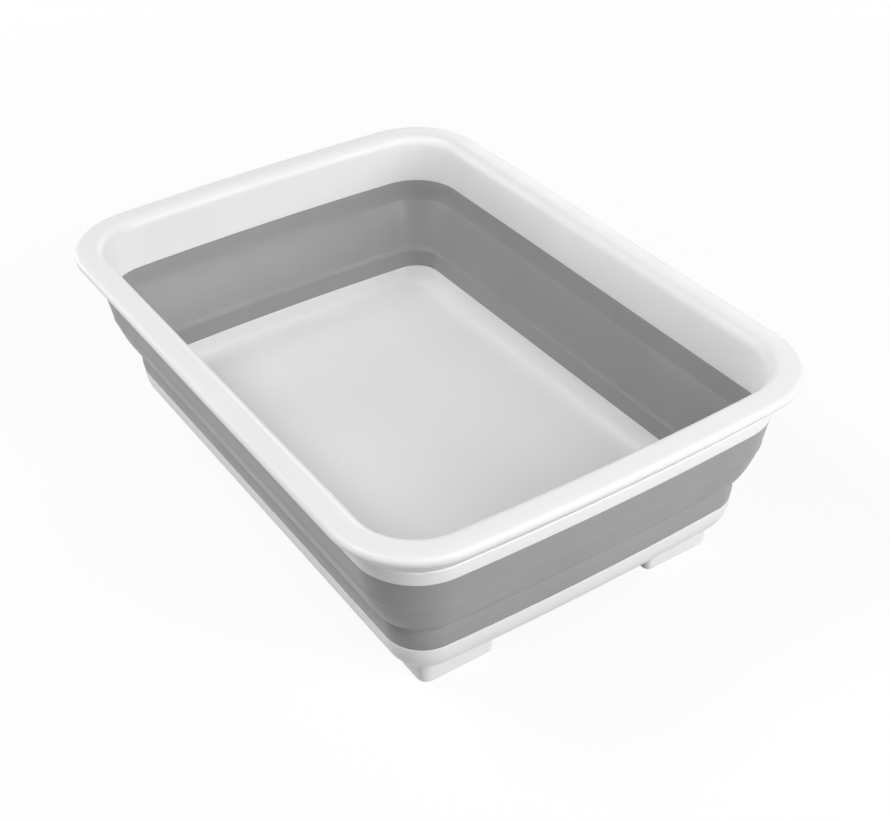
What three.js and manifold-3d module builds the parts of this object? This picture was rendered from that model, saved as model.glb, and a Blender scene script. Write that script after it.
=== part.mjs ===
// Collapsible wash tub: a rigid rim and a rigid tray joined by a soft wall that folds.
// Units are millimetres, +Z is up, and the feet stand on z = 0 under the middle of the tub.
// Every moulding is a ring that follows the tub's outline. Its section is drawn as a path of
// (inset, height): inset is measured inwards from the outermost edge of the lip.

import * as THREE from 'three';
import { mergeVertices } from 'three/addons/utils/BufferGeometryUtils.js';
import Module from 'manifold-3d';

// Outline seen from above
const LENGTH = 380;
const WIDTH = 274.5;
const END_ARC_RADIUS = 1900;
const RIM_CORNER_RADIUS = 46;
const BASE_CORNER_RADIUS = 22;
const FLOOR_CORNER_RADIUS = 9;

// Rim: rolled lip, groove, collar and a skirt that laps the wall
const LIP_HEIGHT = 19;
const LIP_EDGE_RADIUS = 3.2;
const LIP_EDGE_FALL = 0.35;
const LIP_FLAT_INSET = 6;
const LIP_INNER_RADIUS = 6.5;
const RIM_BORE_INSET = 16.3;
const RIM_BORE_LEAN = 0.7;
const COLLAR_INSET = 12;
const COLLAR_HEIGHT = 8.7;
const COLLAR_TAPER = 0.5;
const GROOVE_WIDTH = 0.9;
const GROOVE_DEPTH = 0.6;
const LAP_DEPTH = 4.6;
const LAP_WALL = 1.3;

// Soft wall: upper band, fold web and lower band
const UPPER_BAND_HEIGHT = 18.3;
const UPPER_BAND_TAPER = 3;
const WEB_HEIGHT = 25.4;
const WEB_REACH = 13;
const WEB_BELLY_REACH = 7;
const WEB_BELLY_DROP = 24.9;
const WEB_HINGE_THICKNESS = 1.6;
const WEB_INNER_RISE = 1;
const WEB_INNER_BULGE = 0.8;
const LOWER_BAND_HEIGHT = 14.3;
const LOWER_BAND_THICKNESS = 4.4;
const LOWER_BAND_BULGE = 1.25;
const LOWER_BAND_LEAN = 0.45;
const SHOULDER_DROP = 5.3;
const SHOULDER_ROUND = 2;

// Tray: rounded edge, flat floor, an upstand inside the lower band, and four feet
const TRAY_HEIGHT = 19.2;
const TRAY_FLARE = 0.3;
const TRAY_EDGE_WIDTH = 10.2;
const TRAY_LEDGE_FALL = 2.2;
const FLOOR_THICKNESS = 2.5;
const FLOOR_FILLET_RADIUS = 11;
const UPSTAND_HEIGHT = 6.5;
const UPSTAND_WALL = 1.6;
const FOOT_HEIGHT = 15.6;
const FOOT_LENGTH = 44.6;
const FOOT_WIDTH = 24;
const FOOT_CORNER_RADIUS = 4.5;
const FOOT_INNER_RADIUS = 1.5;
const FOOT_EDGE_ROUND = 1;
const FOOT_INSET = 41.7;

// Gap kept between bonded or neighbouring mouldings
const CLEARANCE = 0.3;

// Smoothness
const OUTLINE_STEPS = 5;
const ARC_STEPS = 3;
const WEB_STEPS = 7;

// Heights, from the feet upwards
const trayTop = FOOT_HEIGHT + TRAY_HEIGHT;
const lowerCreaseHeight = trayTop + LOWER_BAND_HEIGHT;
const upperCreaseHeight = lowerCreaseHeight + WEB_HEIGHT;
const collarFoot = upperCreaseHeight + UPPER_BAND_HEIGHT;
const grooveHeight = collarFoot + COLLAR_HEIGHT;
const rimTop = grooveHeight + LIP_HEIGHT;
const floorTop = FOOT_HEIGHT + FLOOR_THICKNESS;
const skirtFoot = collarFoot - LAP_DEPTH;

// Insets, from the collar inwards
const collarFootInset = COLLAR_INSET + COLLAR_TAPER;
const lapInset = collarFootInset + LAP_WALL;
const upperCreaseInset = collarFootInset + UPPER_BAND_TAPER;
const lowerCreaseInset = upperCreaseInset + WEB_REACH;
const trayTopInset = lowerCreaseInset - LOWER_BAND_LEAN;
const trayInset = trayTopInset - TRAY_FLARE;
const bandBoreInset = lowerCreaseInset + LOWER_BAND_THICKNESS;
const upstandInset = (trayTopInset + bandBoreInset - UPSTAND_WALL) / 2;

// Fold web: hollow outside, almost flat inside, thin at the upper crease and thick between the creases
const webOutside = new THREE.QuadraticBezierCurve(
  new THREE.Vector2(upperCreaseInset, upperCreaseHeight),
  new THREE.Vector2(upperCreaseInset + WEB_BELLY_REACH, upperCreaseHeight - WEB_BELLY_DROP),
  new THREE.Vector2(lowerCreaseInset, lowerCreaseHeight),
);
const webInside = bulgedCurve(
  new THREE.Vector2(upperCreaseInset + WEB_HINGE_THICKNESS, upperCreaseHeight + WEB_INNER_RISE),
  new THREE.Vector2(bandBoreInset, lowerCreaseHeight - SHOULDER_DROP),
  WEB_INNER_BULGE,
);

// The web is a separate ring so that it can travel between the two bands
const bandSleeveInset = Math.min(lowerCreaseInset - LOWER_BAND_BULGE, trayInset);
const upperBandEnd = webInside.v0.x + CLEARANCE;
const webStart = upperBandEnd + CLEARANCE;
const webEnd = bandSleeveInset - CLEARANCE;

const whitePlastic = new THREE.MeshStandardMaterial({ color: 0xf0f0f0, roughness: 0.32, metalness: 0 });
const greyRubber = new THREE.MeshStandardMaterial({ color: 0x9c9c9c, roughness: 0.55, metalness: 0 });

const wasm = await Module();
wasm.setup();

// Shallow curve between two points, its control point pushed out to the left of the way
function bulgedCurve(start, end, bulge) {
  const along = end.clone().sub(start).normalize();
  const middle = start.clone().add(end).divideScalar(2);
  middle.add(new THREE.Vector2(-along.y, along.x).multiplyScalar(bulge));
  return new THREE.QuadraticBezierCurve(start, middle, end);
}

// Point of a web curve at one inset
function curveAt(curve, inset) {
  const a = curve.v0.x - 2 * curve.v1.x + curve.v2.x;
  const b = 2 * (curve.v1.x - curve.v0.x);
  const c = curve.v0.x - inset;
  return curve.getPoint((-2 * c) / (b + Math.sqrt(b * b - 4 * a * c)));
}

// Points of a web curve between two insets
function curveBetween(curve, from, to, steps) {
  return Array.from({ length: steps + 1 }, (_, k) => curveAt(curve, from + ((to - from) * k) / steps));
}

function pathThrough(points) {
  const path = new THREE.Path();
  points.forEach((point, k) => (k === 0 ? path.moveTo(point.x, point.y) : path.lineTo(point.x, point.y)));
  return path;
}

// Corner radius shrinks from the lip to the tray, and is held at the floor's own radius
function cornerRadius(inset) {
  const shrink = (RIM_CORNER_RADIUS - BASE_CORNER_RADIUS) / trayInset;
  return Math.max(RIM_CORNER_RADIUS - shrink * inset, FLOOR_CORNER_RADIUS);
}

// Points along a path, without repeats
function pointsOf(path, steps) {
  const points = path.getPoints(steps);
  return points.filter((point, k) => point.distanceTo(points[(k + 1) % points.length]) > 1e-6);
}

// Outline at one inset, anticlockwise: straight long sides, slightly bowed ends, rounded corners
function outline(inset) {
  const radius = cornerRadius(inset);
  const endCentre = LENGTH / 2 - inset - END_ARC_RADIUS;
  const centreY = WIDTH / 2 - inset - radius;
  const centreX = endCentre + Math.sqrt((END_ARC_RADIUS - radius) ** 2 - centreY ** 2);
  const turn = Math.asin(centreY / (END_ARC_RADIUS - radius));
  const path = new THREE.Path();
  path.absarc(endCentre, 0, END_ARC_RADIUS, -turn, turn);
  path.absarc(centreX, centreY, radius, turn, Math.PI / 2);
  path.absarc(-centreX, centreY, radius, Math.PI / 2, Math.PI - turn);
  path.absarc(-endCentre, 0, END_ARC_RADIUS, Math.PI - turn, Math.PI + turn);
  path.absarc(-centreX, -centreY, radius, Math.PI + turn, Math.PI * 1.5);
  path.absarc(centreX, -centreY, radius, Math.PI * 1.5, Math.PI * 2 - turn);
  return pointsOf(path, OUTLINE_STEPS);
}

// Section carried round the outline: outside face upwards, top inwards, inside face downwards.
// A closed section makes a ring; an open one gets a flat floor and a flat underside.
function sweep(path, closed) {
  const section = pointsOf(path, ARC_STEPS);
  const rings = section.map((point) => outline(point.x).map((place) => [place.x, place.y, point.y]));
  const count = rings[0].length;
  const index = [];
  for (let j = 0; j < rings.length - (closed ? 0 : 1); j++) {
    const here = j * count;
    const next = ((j + 1) % rings.length) * count;
    for (let i = 0; i < count; i++) {
      const beside = (i + 1) % count;
      index.push(here + i, here + beside, next + beside);
      index.push(here + i, next + beside, next + i);
    }
  }
  if (!closed) {
    const last = (rings.length - 1) * count;
    for (const [a, b, c] of THREE.ShapeUtils.triangulateShape(outline(section.at(-1).x), [])) {
      index.push(last + a, last + b, last + c);
    }
    for (const [a, b, c] of THREE.ShapeUtils.triangulateShape(outline(section[0].x), [])) {
      index.push(c, b, a);
    }
  }
  const geometry = new THREE.BufferGeometry();
  geometry.setAttribute('position', new THREE.Float32BufferAttribute(rings.flat(2), 3));
  geometry.setIndex(index);
  return geometry;
}

function rimSection() {
  const edge = new THREE.Vector2(LIP_EDGE_RADIUS, rimTop - LIP_EDGE_FALL - LIP_EDGE_RADIUS);
  const toGroove = new THREE.Vector2(COLLAR_INSET, grooveHeight).sub(edge);
  const toFlat = new THREE.Vector2(LIP_FLAT_INSET, rimTop).sub(edge);
  const start = toGroove.angle() - Math.acos(LIP_EDGE_RADIUS / toGroove.length());
  const end = toFlat.angle() + Math.acos(LIP_EDGE_RADIUS / toFlat.length());
  const roundInset = RIM_BORE_INSET + RIM_BORE_LEAN - LIP_INNER_RADIUS;
  const path = new THREE.Path();
  path.moveTo(collarFootInset, collarFoot);
  path.lineTo(COLLAR_INSET, grooveHeight - GROOVE_WIDTH);
  path.lineTo(COLLAR_INSET + GROOVE_DEPTH, grooveHeight - GROOVE_WIDTH / 2);
  path.lineTo(COLLAR_INSET, grooveHeight);
  path.absarc(edge.x, edge.y, LIP_EDGE_RADIUS, start, end, true);
  path.lineTo(LIP_FLAT_INSET, rimTop);
  path.absarc(roundInset, rimTop - LIP_INNER_RADIUS, LIP_INNER_RADIUS, Math.PI / 2, 0, true);
  path.lineTo(RIM_BORE_INSET, skirtFoot);
  path.lineTo(lapInset, skirtFoot);
  path.lineTo(lapInset, collarFoot);
  return path;
}

function upperBandSection() {
  const top = collarFoot - CLEARANCE;
  const ledge = skirtFoot - CLEARANCE;
  return pathThrough([
    curveAt(webOutside, upperBandEnd),
    webOutside.v0,
    new THREE.Vector2(collarFootInset, top),
    new THREE.Vector2(lapInset - CLEARANCE, top),
    new THREE.Vector2(lapInset - CLEARANCE, ledge),
    new THREE.Vector2(RIM_BORE_INSET, ledge),
    webInside.v0,
    curveAt(webInside, upperBandEnd),
  ]);
}

function webSection() {
  return pathThrough([
    ...curveBetween(webInside, webStart, webEnd, WEB_STEPS),
    ...curveBetween(webOutside, webEnd, webStart, WEB_STEPS),
  ]);
}

function lowerBandSection() {
  const foot = trayTop;
  const slotOutside = upstandInset - CLEARANCE;
  const slotInside = upstandInset + UPSTAND_WALL + CLEARANCE;
  const slotTop = trayTop + UPSTAND_HEIGHT + CLEARANCE;
  const shoulder = webInside.v2;
  const slope = shoulder.clone().sub(webInside.v1).setLength(SHOULDER_ROUND);
  const bellyInset = 2 * (lowerCreaseInset - LOWER_BAND_BULGE) - (trayTopInset + lowerCreaseInset) / 2;
  const path = new THREE.Path();
  path.moveTo(trayTopInset, foot);
  path.quadraticCurveTo(bellyInset, foot + LOWER_BAND_HEIGHT / 2, lowerCreaseInset, lowerCreaseHeight);
  path.lineTo(bandSleeveInset, curveAt(webOutside, bandSleeveInset).y);
  path.lineTo(bandSleeveInset, curveAt(webInside, bandSleeveInset).y);
  path.lineTo(shoulder.x - slope.x, shoulder.y - slope.y);
  path.quadraticCurveTo(shoulder.x, shoulder.y, shoulder.x, shoulder.y - SHOULDER_ROUND);
  path.lineTo(bandBoreInset, ledgeHeight(bandBoreInset));
  path.lineTo(slotInside, ledgeHeight(slotInside));
  path.lineTo(slotInside, slotTop);
  path.lineTo(slotOutside, slotTop);
  path.lineTo(slotOutside, ledgeHeight(slotOutside));
  return path;
}

// Foot of the lower band: it falls towards the inside, and the tray's ledge runs just below it
function ledgeHeight(inset) {
  return trayTop - (TRAY_LEDGE_FALL * (inset - trayTopInset)) / (bandBoreInset - trayTopInset);
}

function traySection() {
  const upstandInside = upstandInset + UPSTAND_WALL;
  const upstandTop = trayTop + UPSTAND_HEIGHT;
  const ledge = trayTop - CLEARANCE;
  const edgeInset = trayInset + TRAY_EDGE_WIDTH;
  const filletInset = bandBoreInset + FLOOR_FILLET_RADIUS;
  const filletHeight = floorTop + FLOOR_FILLET_RADIUS;
  const path = new THREE.Path();
  path.moveTo(edgeInset, FOOT_HEIGHT);
  path.absellipse(edgeInset, ledge, TRAY_EDGE_WIDTH, ledge - FOOT_HEIGHT, -Math.PI / 2, -Math.PI, true);
  path.lineTo(trayTopInset, ledge);
  path.lineTo(upstandInset, ledgeHeight(upstandInset) - CLEARANCE);
  path.lineTo(upstandInset, upstandTop);
  path.lineTo(upstandInside, upstandTop);
  path.lineTo(upstandInside, ledgeHeight(upstandInside) - CLEARANCE);
  path.lineTo(bandBoreInset, ledgeHeight(bandBoreInset) - CLEARANCE);
  path.absarc(filletInset, filletHeight, FLOOR_FILLET_RADIUS, Math.PI, Math.PI * 1.5, false);
  return path;
}

// One foot, along the end of the tub, rounder towards the tub's corner, its top sunk into the floor
function foot(signX, signY) {
  const right = FOOT_WIDTH / 2;
  const top = FOOT_LENGTH / 2;
  const upper = signY > 0 ? FOOT_CORNER_RADIUS : FOOT_INNER_RADIUS;
  const lower = signY > 0 ? FOOT_INNER_RADIUS : FOOT_CORNER_RADIUS;
  const shape = new THREE.Shape();
  shape.absarc(right - upper, top - upper, upper, 0, Math.PI / 2);
  shape.absarc(upper - right, top - upper, upper, Math.PI / 2, Math.PI);
  shape.absarc(lower - right, lower - top, lower, Math.PI, Math.PI * 1.5);
  shape.absarc(right - lower, lower - top, lower, Math.PI * 1.5, Math.PI * 2);
  const geometry = new THREE.ExtrudeGeometry(shape, {
    depth: FOOT_HEIGHT + FLOOR_THICKNESS / 2 - FOOT_EDGE_ROUND,
    bevelThickness: FOOT_EDGE_ROUND,
    bevelSize: FOOT_EDGE_ROUND,
    bevelOffset: -FOOT_EDGE_ROUND,
    bevelSegments: 2,
    curveSegments: ARC_STEPS,
  });
  geometry.translate(
    signX * (LENGTH / 2 - FOOT_INSET - FOOT_WIDTH / 2),
    signY * (WIDTH / 2 - FOOT_INSET - FOOT_LENGTH / 2),
    FOOT_EDGE_ROUND,
  );
  return geometry;
}

function toSolid(geometry) {
  const bare = geometry.clone();
  bare.deleteAttribute('normal');
  bare.deleteAttribute('uv');
  const merged = mergeVertices(bare, 1e-4);
  return new wasm.Manifold(
    new wasm.Mesh({
      numProp: 3,
      vertProperties: new Float32Array(merged.attributes.position.array),
      triVerts: new Uint32Array(merged.index.array),
    }),
  );
}

function toGeometry(solid) {
  const mesh = solid.getMesh();
  const geometry = new THREE.BufferGeometry();
  geometry.setAttribute('position', new THREE.Float32BufferAttribute(mesh.vertProperties, 3));
  geometry.setIndex(Array.from(mesh.triVerts));
  return geometry;
}

function trayGeometry() {
  let solid = toSolid(sweep(traySection(), false));
  for (const signX of [-1, 1]) {
    for (const signY of [-1, 1]) {
      solid = solid.add(toSolid(foot(signX, signY)));
    }
  }
  return toGeometry(solid);
}

function piece(name, geometry, material) {
  geometry.computeVertexNormals();
  const mesh = new THREE.Mesh(geometry, material);
  mesh.name = name;
  return mesh;
}

const tub = new THREE.Group();
tub.name = 'collapsible_wash_tub';
tub.add(piece('rim', sweep(rimSection(), true), whitePlastic));
tub.add(piece('wall_upper_band', sweep(upperBandSection(), true), greyRubber));
tub.add(piece('wall_fold_web', sweep(webSection(), true), greyRubber));
tub.add(piece('wall_lower_band', sweep(lowerBandSection(), true), greyRubber));
tub.add(piece('base_tray', trayGeometry(), whitePlastic));

export default tub;
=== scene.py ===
"""Looks of a collapsible wash tub: white rim, soft grey folding wall and white footed tray."""
import math

import bmesh
import bpy
import numpy as np
from mathutils import Matrix, Vector


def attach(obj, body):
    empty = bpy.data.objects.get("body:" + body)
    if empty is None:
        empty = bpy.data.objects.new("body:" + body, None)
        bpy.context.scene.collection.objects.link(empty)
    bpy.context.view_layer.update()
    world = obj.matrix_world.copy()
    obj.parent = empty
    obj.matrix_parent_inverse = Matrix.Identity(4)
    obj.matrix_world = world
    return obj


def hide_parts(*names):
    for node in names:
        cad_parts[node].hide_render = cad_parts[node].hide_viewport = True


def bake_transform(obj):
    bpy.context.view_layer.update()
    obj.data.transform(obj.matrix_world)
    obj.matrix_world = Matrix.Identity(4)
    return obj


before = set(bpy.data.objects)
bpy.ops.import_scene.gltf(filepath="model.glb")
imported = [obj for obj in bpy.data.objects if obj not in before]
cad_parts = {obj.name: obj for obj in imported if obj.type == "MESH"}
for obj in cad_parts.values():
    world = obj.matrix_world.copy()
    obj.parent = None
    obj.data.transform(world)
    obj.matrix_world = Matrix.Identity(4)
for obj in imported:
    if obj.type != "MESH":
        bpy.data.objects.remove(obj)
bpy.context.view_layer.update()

MM = 0.001

# Sizes in millimetres, as in the part's source, with fuller corners on the feet, a fuller inner side
# of the web, and small rounds and raised lines added. Sections are (inset, height) points: inset is
# measured inwards from the outermost edge of the lip.

# Outline seen from above
LENGTH = 380.0
WIDTH = 274.5
END_ARC_RADIUS = 1900.0
RIM_CORNER_RADIUS = 46.0
BASE_CORNER_RADIUS = 22.0
FLOOR_CORNER_RADIUS = 9.0

# Rim: rolled lip, groove, collar and a skirt that laps the wall
RIM_TOP = 120.5
LIP_EDGE_RADIUS = 3.2
LIP_EDGE_FALL = 0.35
LIP_FLAT_INSET = 6.0
LIP_FLAT_ROUND = 40.0
LIP_CROWN_INSET = 8.5
LIP_INNER_RADIUS = 6.5
RIM_BORE_INSET = 16.3
RIM_BORE_LEAN = 0.7
BORE_BEND = 0.2
BORE_UPPER_BEND_HEIGHT = 106.0
BORE_LOWER_BEND_HEIGHT = 96.0
GROOVE_HEIGHT = 101.5
GROOVE_WIDTH = 0.9
GROOVE_DEPTH = 0.6
GROOVE_UPPER_ROUND = 0.4
GROOVE_BOTTOM_ROUND = 0.15
GROOVE_LOWER_ROUND = 0.3
COLLAR_INSET = 12.0
COLLAR_FOOT = 92.8
COLLAR_FOOT_INSET = 12.5
COLLAR_FOOT_ROUND = 0.25
SKIRT_FOOT = 88.2
SKIRT_ROUND = 0.5
LAP_INSET = 13.8

# Soft wall: upper band, fold web and lower band
UPPER_BAND_BORE = (16.7, 82.0)
UPPER_CREASE = (15.5, 74.5)
LOWER_CREASE = (28.5, 49.1)
LOWER_CREASE_ROUND = 0.5
WEB_BELLY = (22.5, 49.6)
WEB_HINGE_THICKNESS = 1.6
WEB_INNER_RISE = 1.0
WEB_SWELL = 2.5
WEB_SWELL_PLACE = 0.3
OUTER_BEAD = 0.3
INNER_BEAD = 0.4
BEAD_HALF_WIDTH = 0.9
BEAD_ROUND = 0.6
SHOULDER_DROP = 5.3
SHOULDER_ROUND = 2.0
SHOULDER_RIDGE = 0.9
LOWER_BAND_BULGE = 1.25
BAND_BORE_INSET = 32.9

# Tray: rounded edge, flat floor, an upstand inside the lower band, and four feet
TRAY_TOP = 34.8
TRAY_TOP_INSET = 28.05
TRAY_INSET = 27.75
TRAY_EDGE_WIDTH = 10.2
TRAY_EDGE_ROUND = 0.25
TRAY_LEDGE_FALL = 2.2
UPSTAND_HEIGHT = 6.5
UPSTAND_WALL = 1.6
UPSTAND_INSET = (TRAY_TOP_INSET + BAND_BORE_INSET - UPSTAND_WALL) / 2
FLOOR_TOP = 18.1
FLOOR_THICKNESS = 2.5
FLOOR_FILLET_RADIUS = 11.0
FLOOR_MARGIN = 3.0
FOOT_HEIGHT = 15.6
FOOT_LENGTH = 44.6
FOOT_WIDTH = 24.0
FOOT_INSET = 41.7
FOOT_CORNER_RADIUS = 6.0
FOOT_INNER_RADIUS = 4.0
FOOT_EDGE_ROUND = 1.0

# The solids keep a clearance. The real mouldings are bonded, so here the soft wall fills it but for
# a hairline
CLEARANCE = 0.3
BOND = 0.03
JOINT_ROUND = 0.2
SLOT_ROUND = 0.1

# Smoothness
END_STEPS = 16
SIDE_STEPS = 20
CORNER_STEPS = 18
LIP_STEPS = 14
ROUND_STEPS = 4
WEB_OUTER_STEPS = 24
WEB_INNER_STEPS = 30
SHOULDER_STEPS = 10
BAND_STEPS = 12
TRAY_EDGE_STEPS = 18
FILLET_STEPS = 14
FOOT_CORNER_STEPS = 8
FOOT_EDGE_STEPS = 5
SHARP_ANGLE = 40
# Range that most of a noise's values lie in
NOISE_MIDDLE = (0.3, 0.7)
# Most of a straight that the round at one of its ends may take
ROUND_SHARE = 0.48

# Viewpoint of the photograph: pixels of its frame, then degrees, then millimetres
PHOTO_WIDTH, PHOTO_HEIGHT = 890, 820
FOCAL_LENGTH = 1482.82
PHOTO_MIDDLE = (443.67, 419.47)
AZIMUTH, ELEVATION, ROLL = map(math.radians, (57.07, 36.97, -1.58))
CAMERA_TARGET = Vector((-9.64, 23.5, 19.75))
CAMERA_DISTANCE = 894.95

# Stage: metres, and brightness from 0 to 1
LAMP_TARGET = Vector((0, 0, 0.06))
LAMP_DISTANCE = 1.6
FLOOR_HALF_SIZE = 6.0
FLOOR_BOUNCE = 0.3
SHADOW_START, SHADOW_END = 0.3, 0.9
WHITE_UNDER_SHADOW = 0.9
AMBIENT_LIGHT = 0.03
WHITE = (1, 1, 1, 1)


def vec(*values):
    return np.array(values, float)


def unit(v):
    return v / np.linalg.norm(v)


def bezier(a, b, c, steps):
    """Points of a quadratic curve, both ends included."""
    t = np.linspace(0, 1, steps + 1)[:, None]
    return list((1 - t) ** 2 * vec(*a) + 2 * t * (1 - t) * vec(*b) + t * t * vec(*c))


def arc(centre, radius_x, radius_y, start, end, steps):
    """Points of an elliptic arc between two angles in degrees, both ends included."""
    t = np.radians(np.linspace(start, end, steps + 1))
    return list(np.stack([centre[0] + radius_x * np.cos(t), centre[1] + radius_y * np.sin(t)], 1))


def rounded(path, closed=True):
    """The path's points, with a round at every corner that is given as (inset, height, radius)."""
    points, count = [], len(path)
    for k, item in enumerate(path):
        here = vec(item[0], item[1])
        radius = item[2] if len(item) > 2 else 0
        if not radius or (not closed and k in (0, count - 1)):
            points.append(here)
            continue
        before = vec(*path[k - 1][:2]) - here
        after = vec(*path[(k + 1) % count][:2]) - here
        half = math.acos(np.clip(unit(before) @ unit(after), -1, 1)) / 2
        room = ROUND_SHARE * min(np.linalg.norm(before), np.linalg.norm(after))
        reach = min(radius / math.tan(half), room)
        start, end = here + unit(before) * reach, here + unit(after) * reach
        points += bezier(start, here, end, ROUND_STEPS)
    return points


def outline(inset):
    """Plan of the tub at one inset: straight long sides, slightly bowed ends, rounded corners."""
    shrink = (RIM_CORNER_RADIUS - BASE_CORNER_RADIUS) / TRAY_INSET
    radius = max(RIM_CORNER_RADIUS - shrink * inset, FLOOR_CORNER_RADIUS)
    end_centre = LENGTH / 2 - inset - END_ARC_RADIUS
    y = WIDTH / 2 - inset - radius
    x = end_centre + math.sqrt((END_ARC_RADIUS - radius) ** 2 - y * y)
    turn = math.degrees(math.asin(y / (END_ARC_RADIUS - radius)))
    end = arc((end_centre, 0), END_ARC_RADIUS, END_ARC_RADIUS, -turn, turn, END_STEPS)
    corner = arc((x, y), radius, radius, turn, 90, CORNER_STEPS)
    side = [vec(x - 2 * x * k / SIDE_STEPS, y + radius) for k in range(1, SIDE_STEPS)]
    mirrored = [vec(-p[0], p[1]) for p in reversed(corner)]
    half = end[:-1] + corner + side + mirrored[:-1]
    return half + [-p for p in half]


def new_object(name, bm):
    bmesh.ops.recalc_face_normals(bm, faces=bm.faces)
    mesh = bpy.data.meshes.new(name)
    bm.to_mesh(mesh)
    bm.free()
    obj = bpy.data.objects.new(name, mesh)
    bpy.context.scene.collection.objects.link(obj)
    return obj


def skin(bm, rings, closed):
    """Quads between rings of points, and flat end faces if the row of rings is open."""
    verts = [[bm.verts.new(Vector(p) * MM) for p in ring] for ring in rings]
    count = len(verts[0])
    for j in range(len(verts) - (0 if closed else 1)):
        here, there = verts[j], verts[(j + 1) % len(verts)]
        for i in range(count):
            k = (i + 1) % count
            bm.faces.new((here[i], here[k], there[k], there[i]))
    if not closed:
        bm.faces.new(list(reversed(verts[0])))
        bm.faces.new(verts[-1])


def loft(name, section, closed):
    """The section carried round the tub's outline."""
    bm = bmesh.new()
    skin(bm, [[(p[0], p[1], height) for p in outline(inset)] for inset, height in section], closed)
    return new_object(name, bm)


def ledge_height(inset):
    """Height of the wall's foot in the solids, which slopes with the tray's ledge below it."""
    share = (inset - TRAY_TOP_INSET) / (BAND_BORE_INSET - TRAY_TOP_INSET)
    return TRAY_TOP - TRAY_LEDGE_FALL * share


def tangent(centre, radius, point, side):
    """Angle in degrees at which a line from the point touches the circle."""
    way = vec(*point) - vec(*centre)
    return math.degrees(math.atan2(way[1], way[0]) + side * math.acos(radius / np.linalg.norm(way)))


def rim_section():
    edge = (LIP_EDGE_RADIUS, RIM_TOP - LIP_EDGE_FALL - LIP_EDGE_RADIUS)
    start = tangent(edge, LIP_EDGE_RADIUS, (COLLAR_INSET, GROOVE_HEIGHT), -1) + 360
    end = tangent(edge, LIP_EDGE_RADIUS, (LIP_FLAT_INSET, RIM_TOP), 1)
    lip_bore = RIM_BORE_INSET + RIM_BORE_LEAN
    inner = (lip_bore - LIP_INNER_RADIUS, RIM_TOP - LIP_INNER_RADIUS)
    path = [
        (COLLAR_FOOT_INSET, COLLAR_FOOT, COLLAR_FOOT_ROUND),
        (COLLAR_INSET, GROOVE_HEIGHT - GROOVE_WIDTH, GROOVE_LOWER_ROUND),
        (COLLAR_INSET + GROOVE_DEPTH, GROOVE_HEIGHT - GROOVE_WIDTH / 2, GROOVE_BOTTOM_ROUND),
        (COLLAR_INSET, GROOVE_HEIGHT, GROOVE_UPPER_ROUND),
        *arc(edge, LIP_EDGE_RADIUS, LIP_EDGE_RADIUS, start, end, LIP_STEPS),
        (LIP_FLAT_INSET, RIM_TOP, LIP_FLAT_ROUND),
        (LIP_CROWN_INSET, RIM_TOP),
        *arc(inner, LIP_INNER_RADIUS, LIP_INNER_RADIUS, 90, 0, LIP_STEPS),
        (lip_bore - BORE_BEND, BORE_UPPER_BEND_HEIGHT),
        (RIM_BORE_INSET + BORE_BEND, BORE_LOWER_BEND_HEIGHT),
        (RIM_BORE_INSET, SKIRT_FOOT, SKIRT_ROUND),
        (LAP_INSET, SKIRT_FOOT, JOINT_ROUND),
        (LAP_INSET, COLLAR_FOOT, JOINT_ROUND),
    ]
    return rounded(path)


def bead(crease, before, after, rise):
    """A crease with a fine raised line along it, on the left of the way from before to after."""
    crease = vec(*crease)
    back, ahead = unit(vec(*before) - crease), unit(vec(*after) - crease)
    way = unit(ahead - back)
    peak = crease + vec(-way[1], way[0]) * rise
    return [crease + back * BEAD_HALF_WIDTH, (*peak, BEAD_ROUND), crease + ahead * BEAD_HALF_WIDTH]


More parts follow.
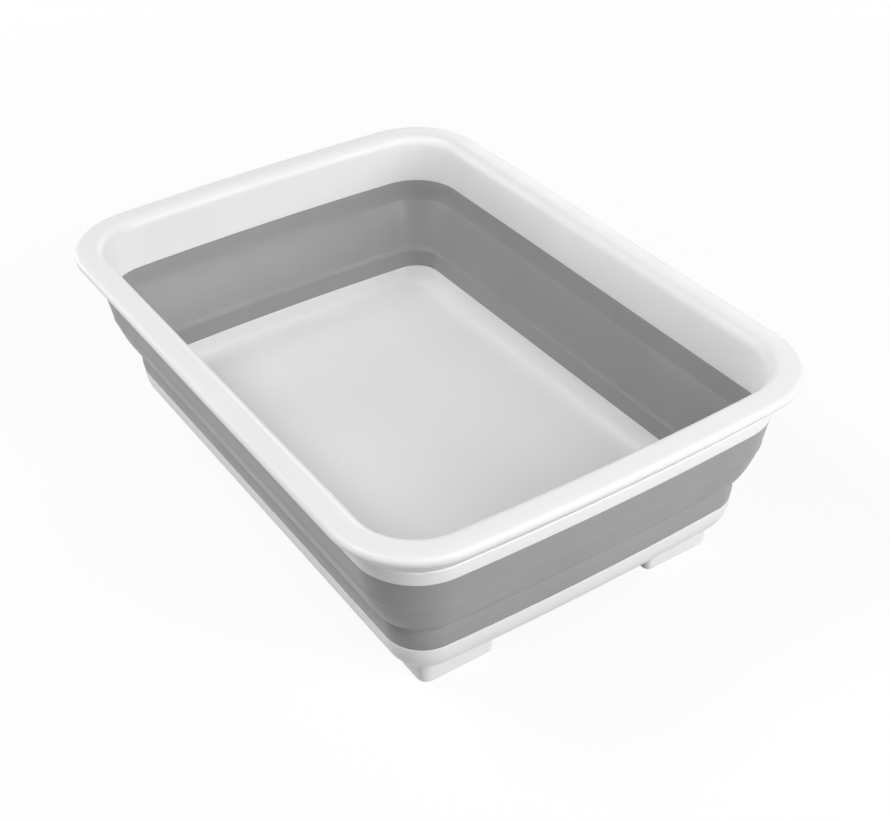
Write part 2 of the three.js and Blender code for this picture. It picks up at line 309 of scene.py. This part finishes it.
def wall_section():
    top, lap_foot = COLLAR_FOOT - BOND, SKIRT_FOOT - BOND
    band_middle = (vec(*UPPER_CREASE) + vec(COLLAR_FOOT_INSET, COLLAR_FOOT)) / 2
    hinge = vec(UPPER_CREASE[0] + WEB_HINGE_THICKNESS, UPPER_CREASE[1] + WEB_INNER_RISE)
    shoulder = vec(BAND_BORE_INSET, LOWER_CREASE[1] - SHOULDER_DROP)
    along = unit(shoulder - hinge)
    swell = hinge + (shoulder - hinge) * WEB_SWELL_PLACE + vec(-along[1], along[0]) * WEB_SWELL
    slope = unit(shoulder - swell) * SHOULDER_ROUND
    ridge = shoulder + vec(SHOULDER_RIDGE, SHOULDER_RIDGE)
    belly = 2 * (LOWER_CREASE[0] - LOWER_BAND_BULGE) - (TRAY_TOP_INSET + LOWER_CREASE[0]) / 2
    bulge = (belly, (TRAY_TOP + LOWER_CREASE[1]) / 2)
    slot_out, slot_in = UPSTAND_INSET - BOND, UPSTAND_INSET + UPSTAND_WALL + BOND
    slot_top = TRAY_TOP + UPSTAND_HEIGHT + BOND
    drop = BOND - CLEARANCE
    path = [
        (TRAY_TOP_INSET, TRAY_TOP + drop, JOINT_ROUND),
        *bezier((TRAY_TOP_INSET, TRAY_TOP), bulge, LOWER_CREASE, BAND_STEPS)[1:-1],
        (*LOWER_CREASE, LOWER_CREASE_ROUND),
        *bezier(LOWER_CREASE, WEB_BELLY, UPPER_CREASE, WEB_OUTER_STEPS)[1:-1],
        *bead(UPPER_CREASE, WEB_BELLY, (COLLAR_FOOT_INSET, top), OUTER_BEAD),
        band_middle,
        (COLLAR_FOOT_INSET, top, COLLAR_FOOT_ROUND),
        (LAP_INSET - BOND, top, JOINT_ROUND),
        (LAP_INSET - BOND, lap_foot, JOINT_ROUND),
        (RIM_BORE_INSET, lap_foot, JOINT_ROUND),
        UPPER_BAND_BORE,
        *bead(hinge, UPPER_BAND_BORE, swell, INNER_BEAD),
        # The curve's ends give way to the bead and to the round of the shoulder
        *bezier(hinge, swell, shoulder, WEB_INNER_STEPS)[2:-3],
        *bezier(shoulder - slope, ridge, shoulder - vec(0, SHOULDER_ROUND), SHOULDER_STEPS),
        (BAND_BORE_INSET, ledge_height(BAND_BORE_INSET) + drop, JOINT_ROUND),
        (slot_in, ledge_height(slot_in) + drop, SLOT_ROUND),
        (slot_in, slot_top, SLOT_ROUND),
        (slot_out, slot_top, SLOT_ROUND),
        (slot_out, ledge_height(slot_out) + drop, SLOT_ROUND),
    ]
    return rounded(path)


def tray_section():
    edge = TRAY_INSET + TRAY_EDGE_WIDTH
    ledge = TRAY_TOP - CLEARANCE
    upstand_in, upstand_top = UPSTAND_INSET + UPSTAND_WALL, TRAY_TOP + UPSTAND_HEIGHT
    fillet = (BAND_BORE_INSET + FLOOR_FILLET_RADIUS, FLOOR_TOP + FLOOR_FILLET_RADIUS)
    path = [
        (edge + FLOOR_MARGIN, FOOT_HEIGHT),
        *arc((edge, ledge), TRAY_EDGE_WIDTH, ledge - FOOT_HEIGHT, 270, 180, TRAY_EDGE_STEPS)[:-1],
        (TRAY_INSET, ledge, TRAY_EDGE_ROUND),
        (TRAY_TOP_INSET, ledge, SLOT_ROUND),
        (UPSTAND_INSET, ledge_height(UPSTAND_INSET) - CLEARANCE, SLOT_ROUND),
        (UPSTAND_INSET, upstand_top, JOINT_ROUND),
        (upstand_in, upstand_top, JOINT_ROUND),
        (upstand_in, ledge_height(upstand_in) - CLEARANCE, SLOT_ROUND),
        (BAND_BORE_INSET, ledge_height(BAND_BORE_INSET) - CLEARANCE, JOINT_ROUND),
        *arc(fillet, FLOOR_FILLET_RADIUS, FLOOR_FILLET_RADIUS, 180, 270, FILLET_STEPS),
        (fillet[0] + FLOOR_MARGIN, FLOOR_TOP),
    ]
    return rounded(path, closed=False)


def foot(sign_x, sign_y):
    """One foot along the tub's end, rounder towards the tub's corner, its top sunk into the floor."""
    half_x, half_y = FOOT_WIDTH / 2, FOOT_LENGTH / 2
    centre_x = sign_x * (LENGTH / 2 - FOOT_INSET - half_x)
    centre_y = sign_y * (WIDTH / 2 - FOOT_INSET - half_y)

    def plan(inset):
        points = []
        for quarter, (side_x, side_y) in enumerate(((1, 1), (-1, 1), (-1, -1), (1, -1))):
            radius = FOOT_CORNER_RADIUS if side_y == sign_y else FOOT_INNER_RADIUS
            middle = (centre_x + side_x * (half_x - radius), centre_y + side_y * (half_y - radius))
            start = 90 * quarter
            points += arc(middle, radius - inset, radius - inset, start, start + 90, FOOT_CORNER_STEPS)
        return points

    lower_edge = (FOOT_EDGE_ROUND, FOOT_EDGE_ROUND)
    profile = arc(lower_edge, FOOT_EDGE_ROUND, FOOT_EDGE_ROUND, 270, 180, FOOT_EDGE_STEPS)
    profile.append(vec(0, FOOT_HEIGHT + FLOOR_THICKNESS / 2))
    bm = bmesh.new()
    skin(bm, [[(p[0], p[1], height) for p in plan(inset)] for inset, height in profile], False)
    return new_object("foot", bm)


def union(obj, tool):
    """obj with tool joined to it as one solid."""
    modifier = obj.modifiers.new("union", "BOOLEAN")
    modifier.operation, modifier.solver, modifier.object = "UNION", "EXACT", tool
    bpy.context.view_layer.update()
    mesh = bpy.data.meshes.new_from_object(obj.evaluated_get(bpy.context.evaluated_depsgraph_get()))
    obj.modifiers.remove(modifier)
    obj.data = mesh
    bpy.data.objects.remove(tool)


class Nodes:
    """A small helper for building a node tree."""

    def __init__(self, owner):
        owner.use_nodes = True
        self.tree = owner.node_tree

    def set(self, node, inputs):
        """Give each named or numbered input of a node its value, or a link from another node."""
        for key, value in inputs.items():
            if isinstance(value, bpy.types.NodeSocket):
                self.tree.links.new(value, node.inputs[key])
            else:
                node.inputs[key].default_value = value

    def add(self, kind, inputs, **settings):
        node = self.tree.nodes.new(kind)
        for key, value in settings.items():
            setattr(node, key, value)
        self.set(node, inputs)
        return node

    def place(self):
        return self.add("ShaderNodeTexCoord", {}).outputs["Object"]

    def noise(self, scale, detail=3.0):
        inputs = {"Vector": self.place(), "Scale": scale, "Detail": detail}
        return self.add("ShaderNodeTexNoise", inputs).outputs["Fac"]

    def map_range(self, value, low, high, out_low, out_high):
        inputs = {"Value": value, "From Min": low, "From Max": high, "To Min": out_low, "To Max": out_high}
        return self.add("ShaderNodeMapRange", inputs).outputs["Result"]

    def spread(self, noise, low, high):
        """The middle of a noise's values, spread over a range."""
        return self.map_range(noise, *NOISE_MIDDLE, low, high)

    def greys(self, share, dark, light):
        inputs = {"Factor": share, "A": grey_level(dark), "B": grey_level(light)}
        return self.add("ShaderNodeMix", inputs, data_type="RGBA").outputs["Result"]

    def bump(self, height, strength, distance):
        inputs = {"Height": height, "Strength": strength, "Distance": distance}
        return self.add("ShaderNodeBump", inputs)

    def grain_over_ripple(self, grain, ripple):
        """A fine bump on top of a slow one. Each is a noise's scale, then a bump's strength and depth."""
        slow = self.bump(self.noise(ripple[0], 2.0), *ripple[1:])
        fine = self.bump(self.noise(grain[0], 2.0), *grain[1:])
        self.set(fine, {"Normal": slow.outputs["Normal"]})
        return fine.outputs["Normal"]


def grey_level(value):
    return (value, value, value, 1)


def white_plastic():
    """Satin moulded polypropylene: a slow ripple in the gloss and a fine spark-eroded grain."""
    material = bpy.data.materials.new("white_polypropylene")
    n = Nodes(material)
    n.set(n.tree.nodes["Principled BSDF"], {
        "Base Color": n.greys(n.spread(n.noise(14.0), 0.0, 1.0), dark=0.890, light=0.906),
        "Roughness": n.spread(n.noise(40.0), low=0.38, high=0.46),
        "Normal": n.grain_over_ripple(grain=(1500.0, 0.06, 0.0002), ripple=(85.0, 0.05, 0.002)),
        "IOR": 1.49,
    })
    return material


def grey_rubber():
    """Matt thermoplastic rubber: a fine grain, faint flow clouds and a soft sheen."""
    material = bpy.data.materials.new("grey_thermoplastic_rubber")
    n = Nodes(material)
    n.set(n.tree.nodes["Principled BSDF"], {
        "Base Color": n.greys(n.spread(n.noise(22.0, 4.0), 0.0, 1.0), dark=0.326, light=0.350),
        "Roughness": n.spread(n.noise(35.0), low=0.37, high=0.45),
        "Normal": n.grain_over_ripple(grain=(2600.0, 0.16, 0.0002), ripple=(60.0, 0.06, 0.002)),
        "IOR": 1.48,
        "Specular IOR Level": 0.35,
    })
    return material


def dress(obj, material):
    obj.data.shade_smooth()
    obj.data.set_sharp_from_angle(angle=math.radians(SHARP_ANGLE))
    obj.data.materials.clear()
    obj.data.materials.append(material)


white, grey = white_plastic(), grey_rubber()

rim = loft("rim_moulding", rim_section(), closed=True)
wall = loft("wall_moulding", wall_section(), closed=True)
tray = loft("tray_moulding", tray_section(), closed=False)
for side_x in (-1, 1):
    for side_y in (-1, 1):
        union(tray, foot(side_x, side_y))

dress(rim, white)
dress(wall, grey)
dress(tray, white)

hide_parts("rim")
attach(rim, "rim")
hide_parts("base_tray")
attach(tray, "base")
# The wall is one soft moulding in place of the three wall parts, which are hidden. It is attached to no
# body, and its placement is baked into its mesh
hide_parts("wall_upper_band", "wall_fold_web", "wall_lower_band")
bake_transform(wall)


def add_camera():
    flat = math.cos(ELEVATION)
    back = Vector((math.sin(AZIMUTH) * flat, -math.cos(AZIMUTH) * flat, math.sin(ELEVATION)))
    level = Vector((math.cos(AZIMUTH), math.sin(AZIMUTH), 0))
    upright = back.cross(level)
    right = math.cos(ROLL) * level + math.sin(ROLL) * upright
    up = math.cos(ROLL) * upright - math.sin(ROLL) * level
    data = bpy.data.cameras.new("camera")
    data.sensor_width = 36
    data.lens = FOCAL_LENGTH * data.sensor_width / PHOTO_WIDTH
    data.shift_x = (PHOTO_WIDTH / 2 - PHOTO_MIDDLE[0]) / PHOTO_WIDTH
    data.shift_y = (PHOTO_MIDDLE[1] - PHOTO_HEIGHT / 2) / PHOTO_WIDTH
    data.clip_start, data.clip_end = 0.01, 50
    camera = bpy.data.objects.new("camera", data)
    place = Matrix.Translation((CAMERA_TARGET + CAMERA_DISTANCE * back) * MM)
    camera.matrix_world = place @ Matrix((right, up, back)).transposed().to_4x4()
    bpy.context.scene.collection.objects.link(camera)
    bpy.context.scene.camera = camera


def add_softbox(name, azimuth, elevation, width, height, watts):
    """A rectangular lamp aimed at the tub, at degrees from +X towards +Y and degrees up."""
    turn, rise = math.radians(azimuth), math.radians(elevation)
    away = Vector((math.cos(turn) * math.cos(rise), math.sin(turn) * math.cos(rise), math.sin(rise)))
    data = bpy.data.lights.new(name, "AREA")
    data.shape, data.size, data.size_y, data.energy = "RECTANGLE", width, height, watts
    light = bpy.data.objects.new(name, data)
    light.location = LAMP_TARGET + away * LAMP_DISTANCE
    light.rotation_euler = away.to_track_quat("Z", "Y").to_euler()
    bpy.context.scene.collection.objects.link(light)


def seen_white(n, lit, seen):
    """A mix in which the camera and reflections get seen, and the light on the tub comes from lit."""
    path = n.add("ShaderNodeLightPath", {}).outputs
    ray = path["Is Camera Ray"]
    for name in ("Is Glossy Ray", "Is Transmission Ray"):
        ray = n.add("ShaderNodeMath", {0: ray, 1: path[name]}, operation="MAXIMUM").outputs[0]
    return n.add("ShaderNodeMixShader", {0: ray, 1: lit, 2: seen}).outputs[0]


def add_floor():
    """A white floor whose shadow shows near the tub only. Further out it is as white as the surround."""
    bm = bmesh.new()
    bmesh.ops.create_grid(bm, x_segments=1, y_segments=1, size=FLOOR_HALF_SIZE)
    floor = new_object("floor", bm)
    material = bpy.data.materials.new("floor_white")
    n = Nodes(material)
    matt = n.tree.nodes["Principled BSDF"]
    n.set(matt, {"Base Color": grey_level(FLOOR_BOUNCE), "Roughness": 0.9, "Specular IOR Level": 0.1})
    shadowed = n.add("ShaderNodeBsdfDiffuse", {"Color": WHITE}).outputs[0]
    plain_white = n.add("ShaderNodeEmission", {}).outputs[0]
    away = n.add("ShaderNodeVectorMath", {0: n.place()}, operation="LENGTH").outputs["Value"]
    share = n.map_range(away, SHADOW_START, SHADOW_END, WHITE_UNDER_SHADOW, 1.0)
    faint = n.add("ShaderNodeMixShader", {0: share, 1: shadowed, 2: plain_white}).outputs[0]
    surface = seen_white(n, lit=matt.outputs[0], seen=faint)
    n.set(n.tree.nodes["Material Output"], {"Surface": surface})
    floor.data.materials.append(material)


def add_surround():
    """A white world that lights the tub only a little."""
    world = bpy.data.worlds.new("studio")
    bpy.context.scene.world = world
    n = Nodes(world)
    ambient = n.tree.nodes["Background"]
    n.set(ambient, {"Color": WHITE, "Strength": AMBIENT_LIGHT})
    surround = n.add("ShaderNodeBackground", {"Color": WHITE, "Strength": 1.0})
    surface = seen_white(n, lit=ambient.outputs[0], seen=surround.outputs[0])
    n.set(n.tree.nodes["World Output"], {"Surface": surface})


add_camera()
add_floor()
add_surround()
add_softbox("key", azimuth=20, elevation=14, width=1.2, height=0.4, watts=10.8)
add_softbox("key_upper", azimuth=15, elevation=38, width=0.8, height=0.7, watts=11.2)
add_softbox("left_upper", azimuth=242, elevation=55, width=0.7, height=0.5, watts=12.6)
add_softbox("left_side", azimuth=266, elevation=8, width=0.6, height=0.25, watts=4.4)
add_softbox("left_low", azimuth=205, elevation=8, width=0.6, height=0.25, watts=4.2)
add_softbox("back", azimuth=132, elevation=22, width=0.8, height=0.4, watts=4.5)

bpy.context.scene.view_settings.view_transform = "Standard"
